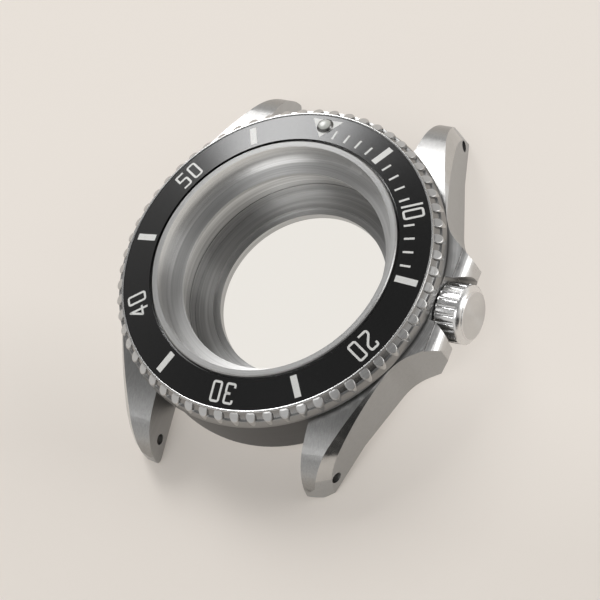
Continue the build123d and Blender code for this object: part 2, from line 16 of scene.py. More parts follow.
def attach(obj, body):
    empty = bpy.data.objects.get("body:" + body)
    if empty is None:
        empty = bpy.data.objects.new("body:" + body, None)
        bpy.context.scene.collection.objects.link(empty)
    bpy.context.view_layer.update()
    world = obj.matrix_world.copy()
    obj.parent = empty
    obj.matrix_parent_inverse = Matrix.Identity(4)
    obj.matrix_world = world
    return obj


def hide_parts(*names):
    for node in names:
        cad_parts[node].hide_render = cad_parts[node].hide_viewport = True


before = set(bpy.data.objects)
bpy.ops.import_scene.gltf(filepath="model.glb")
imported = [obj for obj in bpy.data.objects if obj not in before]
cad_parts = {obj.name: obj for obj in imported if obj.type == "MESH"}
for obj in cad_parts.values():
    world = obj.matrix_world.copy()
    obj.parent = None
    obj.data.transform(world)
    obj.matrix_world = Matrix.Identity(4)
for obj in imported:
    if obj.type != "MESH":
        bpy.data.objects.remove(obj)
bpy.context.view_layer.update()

# %% [markdown]
# ## Steel
# All the steel here is one alloy, yet it looks different on every face, because each face was
# finished another way. Polished bevels mirror the room, flanks are satin, the lugs' tops are
# brushed in straight lines, and turned faces carry rings left by the lathe. Pictures of brushed
# steel could be laid over it, but a material made of nodes stays sharp from any distance.

# %% Helpers for materials
def new_material(name):
    """A material with its nodes, its links and its shader."""
    material = bpy.data.materials.new(name)
    material.use_nodes = True
    nodes, links = material.node_tree.nodes, material.node_tree.links
    return material, nodes, links, nodes["Principled BSDF"]


def add_node(nodes, links, kind, operation, *values):
    """Adds a node that calculates, and fills its inputs in order."""
    node = nodes.new(kind)
    node.operation = operation
    for socket, value in zip(node.inputs, values):
        if isinstance(value, bpy.types.NodeSocket):
            links.new(value, socket)
        else:
            socket.default_value = value
    return node


def add_math(nodes, links, operation, *values):
    """Adds a Math node and returns its number."""
    return add_node(nodes, links, "ShaderNodeMath", operation, *values).outputs[0]


def add_vector_math(nodes, links, operation, *values):
    """Adds a Vector Math node and returns its vector."""
    return add_node(nodes, links, "ShaderNodeVectorMath", operation, *values).outputs[0]


# %% [markdown]
# The marks of brushing are far too fine to model, so they're noise that is stretched along the
# lines. The same noise changes the shade and the roughness a little and drives a faint bump.
# It reads Object coordinates, so the marks stay on the steel when a piece turns.

# %% Noise and what it drives
NOISE_LOW, NOISE_HIGH = 0.3, 0.7  # the noise seldom leaves this range


def object_place(nodes):
    """The Object coordinates of each point."""
    return nodes.new("ShaderNodeTexCoord").outputs["Object"]


def stretched_noise(nodes, links, vector, scales, detail):
    """Noise whose grain is drawn out along the axes that have a small scale."""
    mapping = nodes.new("ShaderNodeMapping")
    mapping.inputs["Scale"].default_value = scales
    links.new(vector, mapping.inputs["Vector"])
    noise = nodes.new("ShaderNodeTexNoise")
    noise.inputs["Scale"].default_value = 1.0
    noise.inputs["Detail"].default_value = detail
    links.new(mapping.outputs["Vector"], noise.inputs["Vector"])
    return noise.outputs["Fac"]


def between(nodes, links, factor, low, high, start=NOISE_LOW, end=NOISE_HIGH):
    """Maps a value that runs from start to end onto the numbers from low to high."""
    node = nodes.new("ShaderNodeMapRange")
    for name, value in (("From Min", start), ("From Max", end), ("To Min", low), ("To Max", high)):
        node.inputs[name].default_value = value
    links.new(factor, node.inputs["Value"])
    return node.outputs["Result"]


def colour_between(nodes, links, factor, dark, light):
    """Maps a noise value onto the colours between two."""
    ramp = nodes.new("ShaderNodeValToRGB")
    first, last = ramp.color_ramp.elements
    first.position, first.color = NOISE_LOW, (*dark, 1)
    last.position, last.color = NOISE_HIGH, (*light, 1)
    links.new(factor, ramp.inputs["Fac"])
    return ramp.outputs["Color"]


# %% [markdown]
# A lathe leaves its lines in rings. To follow them, the coordinates are changed into a direction
# round the axis, which varies slowly, and a distance across the lines, which varies fast.
# Fine lines also draw every reflection out into a streak across them. The shader does that too
# once it knows which way the lines run, which it calls the tangent.

# %% Lines round an axis
DIRECTIONS = {"X": (1, 0, 0), "Y": (0, 1, 0), "Z": (0, 0, 1)}
ALONG_AND_ACROSS = {"X": ("X", "Y", "Z"), "Z": ("Z", "X", "Y")}
BORE = ((0.0, 0.0, 0.0), "Z")  # a point on the axis, and its direction
CROWN_AXIS = ((0.0, 0.0, 0.0041), "X")


def from_centre(nodes, links, centre):
    """Object coordinates measured from a point on an axis."""
    return add_vector_math(nodes, links, "SUBTRACT", object_place(nodes), centre)


def flat_length(nodes, links, first, second):
    """The length of a vector that has two parts."""
    return add_math(nodes, links, "SQRT", add_math(
        nodes, links, "ADD", add_math(nodes, links, "MULTIPLY", first, first),
        add_math(nodes, links, "MULTIPLY", second, second)))


def around_axis(nodes, links, centre, axis):
    """Coordinates that follow the turn in X and Y and run across the lines in Z."""
    split = nodes.new("ShaderNodeSeparateXYZ")
    links.new(from_centre(nodes, links, centre), split.inputs[0])
    along, first, second = (split.outputs[name] for name in ALONG_AND_ACROSS[axis])
    radius = flat_length(nodes, links, first, second)
    safe = add_math(nodes, links, "MAXIMUM", radius, 1e-5)
    joined = nodes.new("ShaderNodeCombineXYZ")
    links.new(add_math(nodes, links, "DIVIDE", first, safe), joined.inputs["X"])
    links.new(add_math(nodes, links, "DIVIDE", second, safe), joined.inputs["Y"])
    links.new(add_math(nodes, links, "ADD", along, radius), joined.inputs["Z"])
    return joined.outputs[0]


def along_the_lines(nodes, links, about):
    """The direction of the lines at each point, as a vector in the room."""
    turn = nodes.new("ShaderNodeVectorTransform")
    turn.vector_type = "VECTOR"
    turn.convert_from, turn.convert_to = "OBJECT", "WORLD"
    if about:
        centre, axis = about
        round_it = add_vector_math(nodes, links, "CROSS_PRODUCT", DIRECTIONS[axis],
                                   from_centre(nodes, links, centre))
        links.new(add_vector_math(nodes, links, "NORMALIZE", round_it), turn.inputs[0])
    else:
        turn.inputs[0].default_value = DIRECTIONS["Y"]
    return turn.outputs[0]


# %% [markdown]
# Brushed steel puts this together. Two layers of stretched noise, fine lines and broad bands,
# give its shade and roughness, and the tangent draws out its reflections. Polished steel has
# no lines, only a faint haze.

# %% Brushed and polished steel
STEEL_DARK, STEEL_LIGHT = (0.52, 0.517, 0.51), (0.64, 0.636, 0.628)
SCALE_ALONG = 260.0  # of the noise along straight lines; "fast" is its scale across
SCRATCH_DEPTH = 0.00002  # metres
QUARTER_TURN = 0.25  # from a streak along the lines to a streak across them


def brushed_steel(name, rough, bump, dark=STEEL_DARK, light=STEEL_LIGHT, about=BORE,
                  fast=14000.0, spread=0.8):
    """Steel with fine lines round an axis, or straight along Y where about is None.
    spread is how far a reflection is drawn out across the lines."""
    material, nodes, links, steel = new_material(name)
    steel.inputs["Metallic"].default_value = 1.0
    steel.inputs["Anisotropic"].default_value = spread
    steel.inputs["Anisotropic Rotation"].default_value = QUARTER_TURN
    links.new(along_the_lines(nodes, links, about), steel.inputs["Tangent"])
    if about:  # slow round the turn, fast across it
        vector = around_axis(nodes, links, *about)
        fine, coarse = (0.7, 0.7, fast), (0.5, 0.5, fast / 6)
    else:
        vector = object_place(nodes)
        fine = (fast, SCALE_ALONG, fast)
        coarse = tuple(scale / 5 for scale in fine)
    grain = stretched_noise(nodes, links, vector, fine, 2.0)
    bands = stretched_noise(nodes, links, vector, coarse, 3.0)
    both = add_math(nodes, links, "MULTIPLY", add_math(nodes, links, "ADD", grain, bands), 0.5)
    links.new(colour_between(nodes, links, both, dark, light), steel.inputs["Base Color"])
    links.new(between(nodes, links, both, *rough), steel.inputs["Roughness"])
    relief = nodes.new("ShaderNodeBump")
    relief.inputs["Strength"].default_value = bump
    relief.inputs["Distance"].default_value = SCRATCH_DEPTH
    links.new(grain, relief.inputs["Height"])
    links.new(relief.outputs["Normal"], steel.inputs["Normal"])
    return material


def polished_steel(name, rough, colour):
    """Steel polished on a wheel, with a faint haze that shows in its highlights."""
    material, nodes, links, steel = new_material(name)
    steel.inputs["Metallic"].default_value = 1.0
    haze = stretched_noise(nodes, links, object_place(nodes), (900.0,) * 3, 4.0)
    links.new(between(nodes, links, haze, rough, rough * 2), steel.inputs["Roughness"])
    shade = tuple(part * 0.94 for part in colour)  # the haze is a little darker
    links.new(colour_between(nodes, links, haze, shade, colour), steel.inputs["Base Color"])
    return material


# %% [markdown]
# The case needs eight of these finishes, each a row of numbers for the same two functions. The
# bore has the clearest rings. The wall of the crystal's seat is turned smoother, and a lighter
# copy of the turned steel paints light on it; a darker copy paints shade on the neck's top. The
# wall below the bezel, which lies in shade, gets a painted shade: dark and even steel.

# %% The finishes of the case
case_finishes = [
    brushed_steel("satin_flank", (0.34, 0.42), 0.10, (0.42, 0.42, 0.416), (0.50, 0.50, 0.495),
                  about=None, fast=30000.0),
    brushed_steel("brushed_lug_top", (0.28, 0.38), 0.22, (0.29, 0.288, 0.284),
                  (0.42, 0.418, 0.413), about=None, fast=26000.0, spread=0.7),
    polished_steel("polished_steel", 0.10, (0.58, 0.578, 0.572)),
    brushed_steel("turned_bore", (0.28, 0.38), 0.16, (0.40, 0.397, 0.39), (0.78, 0.777, 0.77),
                  fast=7000.0),
    # painted shade: dark, even steel for the wall below the bezel and the step beside the guards
    brushed_steel("wall_painted_shade", (0.40, 0.40), 0.0, (0.135,) * 3, (0.145,) * 3, spread=0.0),
    polished_steel("polished_guard", 0.22, (0.60, 0.598, 0.592)),
    # painted shade: a darker copy of the turned steel, for the neck's top
    brushed_steel("turned_edge_painted_shade", (0.30, 0.36), 0.1, (0.32, 0.318, 0.314), (0.42, 0.418, 0.412),
                  fast=7000.0, spread=0.2),
    # smoother turning, and a lighter copy of the steel: painted light on the seat's wall
    brushed_steel("turned_seat_painted_light", (0.20, 0.28), 0.14, (0.60, 0.597, 0.59), (0.86, 0.857, 0.85),
                  fast=7000.0),
]
SATIN, BRUSHED, POLISHED, TURNED, PAINTED_SHADE, GUARD, RIM, SEAT = range(len(case_finishes))
print("finishes of the case:", [finish.name for finish in case_finishes])

# %% [markdown]
# ## The case middle
# Lugs, crown guards and neck are one piece of steel. Its shape comes exactly from the frame,
# so a copy of that solid is the best start. The copy's loose triangles are merged and its flat
# faces joined. Every finished piece keeps its object at the origin, unturned and unscaled, and
# holds its place in its own mesh. A watchmaker thinks in millimetres, so a helper turns a shape
# drawn in millimetres into a Blender object in metres.

# %% Copy the solid
MM = 0.001


def linked(name, data):
    """A new object in the scene."""
    made = bpy.data.objects.new(name, data)
    bpy.context.scene.collection.objects.link(made)
    return made


def new_piece(name, shape, smooth_angle, *materials):
    """Makes an object of a bmesh that is drawn in millimetres."""
    bmesh.ops.recalc_face_normals(shape, faces=shape.faces)
    bmesh.ops.scale(shape, vec=(MM, MM, MM), verts=shape.verts)
    mesh = bpy.data.meshes.new(name)
    shape.to_mesh(mesh)
    shape.free()
    mesh.shade_smooth()
    mesh.set_sharp_from_angle(angle=radians(smooth_angle))
    for material in materials:
        mesh.materials.append(material)
    return linked(name, mesh)


case_shape = bmesh.new()
case_shape.from_mesh(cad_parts["case_middle"].data)
bmesh.ops.scale(case_shape, vec=(1000, 1000, 1000), verts=case_shape.verts)
bmesh.ops.remove_doubles(case_shape, verts=case_shape.verts, dist=1e-4)
bmesh.ops.dissolve_limit(case_shape, angle_limit=radians(0.4), verts=case_shape.verts,
                         edges=case_shape.edges)
bmesh.ops.recalc_face_normals(case_shape, faces=case_shape.faces)
print("case faces:", len(case_shape.faces))

# %% [markdown]
# Each face is given a finish by where it lies and which way it looks. Picking the faces by hand
# would work too, but that work is lost when the solid changes.

# %% Sort the faces by finish
HALF_GAP = 10.05  # half the gap between the lugs, and a hair more
BODY_RADIUS = 19.7  # the round body, and a hair more
GUARD_STEP = 21.0  # how far out the step beside the crown guards stands
GUARD_HALF_WIDTH = 8.9
SEAT_INNER, SEAT_OUTER = 14.2, 14.45
LUG_START = 9.6  # how far from the crown's axis the polished bevels begin
EDGE_ANGLE = 24  # degrees between two faces from which their edge is sharp


def finish_of_face(centre, normal):
    """The finish of a face of the case."""
    radius = hypot(centre.x, centre.y)
    between_lugs, upright = abs(centre.x) < HALF_GAP, abs(normal.z) < 0.3
    # the step beside the guards gets the painted shade, a dark painted line
    if abs(centre.x - GUARD_STEP) < 0.05 and normal.x > 0.8 and centre.z > 7:
        return PAINTED_SHADE
    # the wall between the lugs, below the bezel, gets the painted shade too
    if between_lugs and upright and 19 < radius < BODY_RADIUS:
        return PAINTED_SHADE
    # the neck's top takes the darker turned steel, a painted shade
    if radius < 15.5 and normal.z > 0.5 and centre.z > 9:  # the neck's top
        return RIM
    # the seat's wall takes the lighter turned steel, a painted light
    if SEAT_INNER < radius < SEAT_OUTER and upright and centre.z > 7.4:
        return SEAT
    if radius < BODY_RADIUS and (radius < 17 or centre.z > 5.8 or between_lugs):
        return TURNED if normal.z > -0.5 or radius < 16 else SATIN
    if normal.z > 0.25:
        if centre.x > 0 and abs(centre.y) < GUARD_HALF_WIDTH:
            return GUARD
        return POLISHED if abs(normal.x) > 0.3 and abs(centre.y) > LUG_START else BRUSHED
    return GUARD if centre.x > 22 and normal.x > 0.8 else SATIN  # the guards' noses


for face in case_shape.faces:
    face.material_index = finish_of_face(face.calc_center_median(), face.normal)
case = new_piece("case_body", case_shape, EDGE_ANGLE, *case_finishes)
print("finishes in use:", len({face.material_index for face in case.data.polygons}))

# %% [markdown]
# A real edge is never razor sharp, so a very small bevel catches the light along every edge.
# Beside a bevel, a curved wall made of facets can show stripes. Weighted normals let its large
# faces decide how the light runs, and the stripes go.

# %% Soften its edges
edge = case.modifiers.new("edges", "BEVEL")
edge.width = 0.045 * MM
edge.segments = 2
edge.limit_method = "ANGLE"
edge.angle_limit = radians(EDGE_ANGLE)
edge.use_clamp_overlap = True
even = case.modifiers.new("even_normals", "WEIGHTED_NORMAL")
even.keep_sharp = True
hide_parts("case_middle")
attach(case, "case")
print("edge width in metres:", round(edge.width, 6))

# %% [markdown]
# ## The bezel
# The bezel is turned from a ring, then its edge is cut into sixty rounded teeth that a wet
# thumb can grip. Between the teeth run sloping valleys that end on a narrow ledge above the
# foot. Its body is made as on the lathe: a section of (radius, height) points is carried round
# Z. A Screw modifier could do that, but a function can also pull a point in at a chosen turn,
# as the crown's flutes and the tube's thread need.

# %% Turned shapes
def curve(start, corner, end, steps):
    """Points from start to end on a curve that bends towards a corner."""
    parts = [step / steps for step in range(steps + 1)]
    return [(1 - t) ** 2 * start + 2 * t * (1 - t) * corner + t ** 2 * end for t in parts]


def softened(section, radius, steps):
    """Rounds every corner of a closed section by a small radius."""
    rounded = []
    for i, corner in enumerate(section):
        corner = Vector(corner)
        before = Vector(section[i - 1]) - corner
        after = Vector(section[(i + 1) % len(section)]) - corner
        opening = max(sin(before.angle(after) / 2), 0.2)
        cut = min(radius / opening, before.length / 2.5, after.length / 2.5)
        rounded += curve(corner + before.normalized() * cut, corner,
                         corner + after.normalized() * cut, steps)
    return [tuple(point) for point in rounded]


def turned_shape(section, steps, reach=None):
    """A closed shell turned about Z from a closed section of (radius, height) points.
    reach, if given, returns the radius to use for a point at a turn."""
    shape = bmesh.new()
    columns = []
    for i in range(steps):
        turn = tau * i / steps
        column = []
        for radius, height in section:
            r = reach(radius, height, turn) if reach else radius
            column.append(shape.verts.new((r * cos(turn), r * sin(turn), height)))
        columns.append(column)
    for i, here in enumerate(columns):
        there = columns[(i + 1) % steps]
        for j in range(len(section)):
            k = (j + 1) % len(section)
            shape.faces.new((here[j], there[j], there[k], here[k]))
    bmesh.ops.remove_doubles(shape, verts=shape.verts, dist=1e-5)
    return shape


# %% The bezel's turned body
BEZEL_LOW, RIM_TOP = 7.55, 9.65
LEDGE = BEZEL_LOW + 1.15  # the ledge at the foot of the valleys
GROOVE = BEZEL_LOW + 0.3  # the roof of the groove that holds the ratchet
GROOVE_INNER, GROOVE_OUTER = 16.85, 18.45
RIM_OUTER, RIM_INNER = 19.25, 19.03
BEZEL_TURN = 0.9  # degrees that the bezel stands turned, against the clock

bezel_section = [
    (15.85, BEZEL_LOW), (GROOVE_INNER, BEZEL_LOW), (GROOVE_INNER, GROOVE),
    (GROOVE_OUTER, GROOVE), (GROOVE_OUTER, BEZEL_LOW), (20.25, BEZEL_LOW),
    (20.25, BEZEL_LOW + 0.3), (20.02, LEDGE), (19.72, LEDGE), (RIM_OUTER + 0.04, RIM_TOP - 0.06),
    (RIM_OUTER, RIM_TOP), (RIM_INNER, RIM_TOP), (RIM_INNER, 8.944), (15.25, 9.732),
    (15.25, 9.15), (15.51, 9.15), (15.51, 8.65), (15.25, 8.65), (15.25, 8.1), (15.85, 8.1),
]
bezel_finishes = [
    brushed_steel("bezel_steel", (0.22, 0.30), 0.1, (0.44, 0.438, 0.433), (0.54, 0.537, 0.53),
                  spread=0.4),
    # painted shade: darker steel in the valleys between the teeth
    brushed_steel("valley_painted_shade", (0.18, 0.24), 0.1, (0.24,) * 3, (0.30,) * 3, spread=0.0),
    # painted shade: darker steel on the skirt below the ledge
    brushed_steel("skirt_painted_shade", (0.28, 0.36), 0.1, (0.27, 0.268, 0.265), (0.33, 0.328, 0.324),
                  spread=0.4),
]
bezel_shape = turned_shape(softened(bezel_section, 0.035, 2), 360)
# The valleys and the skirt take the darker copies of the bezel's steel, a painted shade.
for face in bezel_shape.faces:
    centre = face.calc_center_median()
    radius = hypot(centre.x, centre.y)
    above_ledge = centre.z > LEDGE + 0.01
    in_valley = 19.3 < radius < 19.75 and above_ledge
    on_skirt = radius > 19.2 and not above_ledge
    face.material_index = 1 if in_valley else 2 if on_skirt else 0
bezel = new_piece("bezel_body", bezel_shape, 28, *bezel_finishes)
print("bezel faces:", len(bezel.data.polygons))

# %% [markdown]
# A tooth is what the cutter leaves standing: a round upright bar whose top slopes outwards. One
# is modelled ring by ring, down over its soft edge. A Bevel modifier could soften it too, but
# rings keep a close count of the faces, which are paid for sixty times.

# %% One tooth
TOOTH_RADIUS, TOOTH_PLACE = 0.58, 19.64
TOOTH_FOOT = BEZEL_LOW + 0.28


def tooth_top(radius):
    """Height of the tooth's sloping facet at a distance from the case's axis."""
    return RIM_TOP - 0.10 - max(0.0, radius - 19.32) * 0.76


def tooth_shape(sides=24, soft=0.09):
    """A round upright bar with a sloping top whose edge is rounded."""
    shape = bmesh.new()
    rows = [(TOOTH_RADIUS * share, 0.0) for share in (0.25, 0.5, 0.72)]
    for step in range(5):
        turn = step / 4 * pi / 2
        rows.append((TOOTH_RADIUS - soft + soft * sin(turn), soft * (1 - cos(turn))))
    rings = []
    for distance, drop in rows:
        ring = []
        for i in range(sides):
            turn = tau * i / sides
            x, y = TOOTH_PLACE + distance * cos(turn), distance * sin(turn)
            ring.append(shape.verts.new((x, y, tooth_top(hypot(x, y)) - drop)))
        rings.append(ring)
    foot = [shape.verts.new((v.co.x, v.co.y, TOOTH_FOOT)) for v in rings[-1]]
    rings.append(foot)
    middle = shape.verts.new((TOOTH_PLACE, 0, tooth_top(TOOTH_PLACE)))
    for i in range(sides):
        k = (i + 1) % sides
        shape.faces.new((middle, rings[0][i], rings[0][k]))
        for upper, lower in zip(rings, rings[1:]):
            shape.faces.new((upper[i], lower[i], lower[k], upper[k]))
    shape.faces.new(tuple(reversed(foot)))
    return shape


tooth = new_piece("tooth_model", tooth_shape(), 40)
print("faces of one tooth:", len(tooth.data.polygons))

# %% [markdown]
# ## Repeating a piece round the ring
# A circle of points is all that a repeated tooth needs. The tree takes the piece, the count,
# the step between two copies and the first angle, puts an instance on every point and turns
# it. It can leave out every so many copies, as the minute ticks need. Instances are dropped by
# the export, so the tree ends by making them real and giving them their material.

# %% A Geometry Nodes tree that repeats a piece about Z
def round_tree():
    """Builds the tree once; its inputs are named."""
    tree = bpy.data.node_groups.new("repeat_round_the_axis", "GeometryNodeTree")
    tree.interface.new_socket("Geometry", in_out="OUTPUT", socket_type="NodeSocketGeometry")
    for name, kind in (("Piece", "Object"), ("Count", "Int"), ("Step", "Float"),
                       ("First", "Float"), ("Skip Every", "Int"), ("Material", "Material")):
        tree.interface.new_socket(name, in_out="INPUT", socket_type="NodeSocket" + kind)
    nodes, links = tree.nodes, tree.links
    given = nodes.new("NodeGroupInput").outputs
    points = nodes.new("GeometryNodePoints")
    links.new(given["Count"], points.inputs["Count"])
    index = nodes.new("GeometryNodeInputIndex").outputs[0]
    angle = add_math(nodes, links, "ADD", given["First"],
                     add_math(nodes, links, "MULTIPLY", index, given["Step"]))
    store = nodes.new("GeometryNodeStoreNamedAttribute")
    store.data_type, store.domain = "FLOAT", "POINT"
    store.inputs["Name"].default_value = "angle"
    links.new(points.outputs[0], store.inputs["Geometry"])
    links.new(angle, store.inputs["Value"])
    place = add_math(nodes, links, "ADD", index, 1.0)
    left = add_math(nodes, links, "MODULO", place, given["Skip Every"])
    gone = nodes.new("FunctionNodeCompare")
    gone.data_type, gone.operation = "FLOAT", "LESS_THAN"
    links.new(left, gone.inputs[0])
    gone.inputs[1].default_value = 0.5
    kept = nodes.new("GeometryNodeDeleteGeometry")
    kept.domain = "POINT"
    links.new(store.outputs[0], kept.inputs["Geometry"])
    links.new(gone.outputs[0], kept.inputs["Selection"])
    read = nodes.new("GeometryNodeInputNamedAttribute")
    read.data_type = "FLOAT"
    read.inputs["Name"].default_value = "angle"
    turn = nodes.new("ShaderNodeCombineXYZ")
    links.new(read.outputs["Attribute"], turn.inputs["Z"])
    model = nodes.new("GeometryNodeObjectInfo")
    links.new(given["Piece"], model.inputs["Object"])
    copies = nodes.new("GeometryNodeInstanceOnPoints")
    links.new(kept.outputs[0], copies.inputs["Points"])
    links.new(model.outputs["Geometry"], copies.inputs["Instance"])
    links.new(turn.outputs[0], copies.inputs["Rotation"])
    real = nodes.new("GeometryNodeRealizeInstances")
    links.new(copies.outputs[0], real.inputs[0])
    coat = nodes.new("GeometryNodeSetMaterial")
    links.new(real.outputs[0], coat.inputs["Geometry"])
    links.new(given["Material"], coat.inputs["Material"])
    links.new(coat.outputs[0], nodes.new("NodeGroupOutput").inputs[0])
    return tree


round_the_axis = round_tree()
print("nodes in the tree:", len(round_the_axis.nodes))

# %% [markdown]
# The tree runs on an empty carrier. What it makes is kept as a plain mesh, and the carrier and
# the single model are removed.

# %% Sixty teeth
SKIP_NONE = 1000  # more than any count here


def repeated(name, model, count, step, first, material, skip=SKIP_NONE):
    """Repeats a model round the axis as one plain mesh, and removes the model."""
    carrier = linked(name + "_carrier", bpy.data.meshes.new(name + "_carrier"))
    modifier = carrier.modifiers.new("nodes", "NODES")
    modifier.node_group = round_the_axis
    values = {"Piece": model, "Count": count, "Step": step, "First": first, "Skip Every": skip,
              "Material": material}
    for item in round_the_axis.interface.items_tree:
        if item.in_out == "INPUT":
            modifier[item.identifier] = values[item.name]
    bpy.context.view_layer.update()
    evaluated = carrier.evaluated_get(bpy.context.evaluated_depsgraph_get())
    mesh = bpy.data.meshes.new_from_object(evaluated)
    mesh.name = name
    if "angle" in mesh.attributes:
        mesh.attributes.remove(mesh.attributes["angle"])
    bpy.data.objects.remove(carrier)
    model_mesh = model.data
    bpy.data.objects.remove(model)
    bpy.data.meshes.remove(model_mesh)
    return linked(name, mesh)


tooth_steel = brushed_steel("tooth_steel", (0.26, 0.32), 0.08, (0.48, 0.477, 0.47),
                            (0.56, 0.557, 0.55), spread=0.0)
teeth = repeated("bezel_teeth", tooth, 60, radians(6), radians(BEZEL_TURN), tooth_steel)
print("teeth faces:", len(teeth.data.polygons))

# %% [markdown]
# Under the bezel a ring of fine sawteeth meets the click spring, so that the bezel can only
# be turned one way. The same tree repeats one sawtooth a hundred and twenty times.

# %% The ratchet under the bezel
def sawtooth_shape():
    """One sawtooth of the ratchet, pointing down."""
    shape = bmesh.new()
    half = radians(1.5)
    corners = []
    for radius in (GROOVE_INNER, GROOVE_OUTER):
        for turn, height in ((-half, BEZEL_LOW), (half, GROOVE), (-half, GROOVE)):
            corners.append(shape.verts.new((radius * cos(turn), radius * sin(turn), height)))
    a, b, c, d, e, f = corners
    for face in ((a, b, c), (d, f, e), (a, d, e, b), (b, e, f, c), (c, f, d, a)):
        shape.faces.new(face)
    return shape


sawtooth = new_piece("sawtooth_model", sawtooth_shape(), 20)
ratchet = repeated("bezel_ratchet", sawtooth, 120, radians(3), radians(BEZEL_TURN),
                   bezel_finishes[0])
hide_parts("bezel_ring")
for piece in (bezel, teeth, ratchet):
    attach(piece, "bezel")
print("ratchet faces:", len(ratchet.data.polygons))

# %% [markdown]
# ## The insert and its minutes
# The insert is a thin ring that slopes up towards the crystal, hard-coated and glossy black.
# Its minute marks are filled with pale paint. Neither is a metal, so both are plain materials,
# and a fine speckle keeps them from looking like plastic.

# %% Black insert and pale paint
def speckled(name, scale, detail, dark, light, rough):
    """A plain material with a fine speckle. rough is one value, or two that the speckle mixes."""
    material, nodes, links, shader = new_material(name)
    speckle = stretched_noise(nodes, links, object_place(nodes), (scale,) * 3, detail)
    links.new(colour_between(nodes, links, speckle, dark, light), shader.inputs["Base Color"])
    if isinstance(rough, tuple):
        links.new(between(nodes, links, speckle, *rough), shader.inputs["Roughness"])
    else:
        shader.inputs["Roughness"].default_value = rough
    return material, shader


black, shader = speckled("insert_black", 6000.0, 3.0, (0.003,) * 3, (0.006,) * 3, (0.21, 0.26))
shader.inputs["IOR"].default_value = 1.5
paint, _ = speckled("minute_paint", 9000.0, 3.0, (0.62, 0.62, 0.60), (0.74, 0.74, 0.72), 0.45)
print("made:", black.name, "and", paint.name)

# %% [markdown]
# Bars and ticks are one small block each, laid on the slope at three o'clock and repeated by the
# same tree. They could be a colour in the insert's material, but real paint stands a hair above
# the surface, and its edge catches the light.

# %% Bars and ticks
CONE = 0.74 / 3.55  # how steeply the insert slopes
PAINT_UP, PAINT_DOWN = 0.012, 0.03
PAINT_LEVELS = ((-PAINT_DOWN, 0.0), (PAINT_UP - 0.006, 0.0), (PAINT_UP, 0.012))  # lift, inset


def insert_height(radius):
    """Height of the insert's sloping top at a radius."""
    return 9.6 + CONE * (19.0 - radius)


def mark_shape(width, inner, outer):
    """A thin block that lies on the insert at three o'clock and points at the axis."""
    shape = bmesh.new()
    rows = []
    for lift, inset in PAINT_LEVELS:
        half, near, far = width / 2 - inset, inner + inset, outer - inset
        rows.append([shape.verts.new((x, y, insert_height(hypot(x, y)) + lift))
                     for x, y in ((near, -half), (near, half), (far, half), (far, -half))])
    shape.faces.new(rows[0])
    shape.faces.new(rows[-1])
    for lower, upper in zip(rows, rows[1:]):
        for i in range(4):
            k = (i + 1) % 4
            shape.faces.new((lower[i], lower[k], upper[k], upper[i]))
    return shape


def minute_angle(minute):
    """Angle about Z, from three o'clock, of a minute on the bezel."""
    return radians(90 - 6 * minute + BEZEL_TURN)


def marks(name, width, inner, outer, first, step, count, skip=SKIP_NONE):
    """A row of equal marks round the insert, from a first minute and then every step minutes."""
    model = new_piece(name + "_model", mark_shape(width, inner, outer), 20)
    return repeated(name, model, count, radians(-6 * step), minute_angle(first), paint, skip)


bars = marks("minute_bars", 0.8, 15.86, 18.47, 5, 10, 6)
ticks = marks("minute_ticks", 0.26, 15.95, 17.15, 1, 1, 14, skip=5)
print("marks:", len(bars.data.polygons), "and", len(ticks.data.polygons), "faces")

# %% [markdown]
# ## The numbers
# The numbers are plain strokes of one width with rounded corners, tops outwards. A text object
# would bring some font's shapes, so each digit is a path or two in a small box. A path is
# widened to both sides, every point of it is dropped onto the slope of the insert, and the
# paint's thin edge is pulled down into the insert.

# %% Digits as strokes
STROKE = 0.27
HALF_WIDTH, HALF_HEIGHT = 0.515, 1.115
a, b = HALF_WIDTH, HALF_HEIGHT
DIGITS = {  # strokes, each with its points, whether it is closed, and its corners' radius
    "0": [([(-a, -b), (a, -b), (a, b), (-a, b)], True, 0.26)],
    "1": [([(0, -b - STROKE / 2), (0, b + STROKE / 2)], False, 0)],
    "2": [([(-a, b - 0.5), (-a, b), (a, b), (a, 0.38), (-a, -0.62), (-a, -b),
            (a + STROKE / 2, -b)], False, 0.24)],
    "3": [([(-a, b - 0.42), (-a, b), (a, b), (a, 0.04), (-0.12, 0.0)], False, 0.24),
          ([(-0.12, 0.0), (a, -0.04), (a, -b), (-a, -b), (-a, 0.42 - b)], False, 0.24)],
    "4": [([(0.22, -b - STROKE / 2), (0.22, b), (-a - 0.06, -0.5), (a + 0.12, -0.5)], False, 0.05)],
    "5": [([(a + 0.06, b), (-a, b), (-a, 0.12 - STROKE / 2)], False, 0.04),
          ([(-a - STROKE / 2, 0.12), (a, 0.12), (a, -b), (-a - 0.06, -b)], False, 0.24)],
}
print("digits:", *DIGITS)


def rounded_path(points, closed, radius, steps=5):
    """A path with its corners rounded."""
    points = [Vector(point) for point in points]
    out = []
    for i, corner in enumerate(points):
        if not radius or (not closed and i in (0, len(points) - 1)):
            out.append(corner)
            continue
        before = points[i - 1] - corner
        after = points[(i + 1) % len(points)] - corner
        cut = min(radius, before.length / 2.1, after.length / 2.1)
        out += curve(corner + before.normalized() * cut, corner,
                     corner + after.normalized() * cut, steps)
    return out


def side_points(path, closed, half):
    """The two edges of a path that is widened by half to each side."""
    left, right = [], []
    count = len(path)
    for i, point in enumerate(path):
        before = path[i] - path[i - 1] if closed or i else path[1] - path[0]
        after = path[(i + 1) % count] - path[i] if closed or i < count - 1 else before
        one = Vector((-before.y, before.x)).normalized()
        two = Vector((-after.y, after.x)).normalized()
        middle = (one + two).normalized()
        out = middle * (half / max(middle.dot(one), 0.35))
        left.append(point + out)
        right.append(point - out)
    return left, right


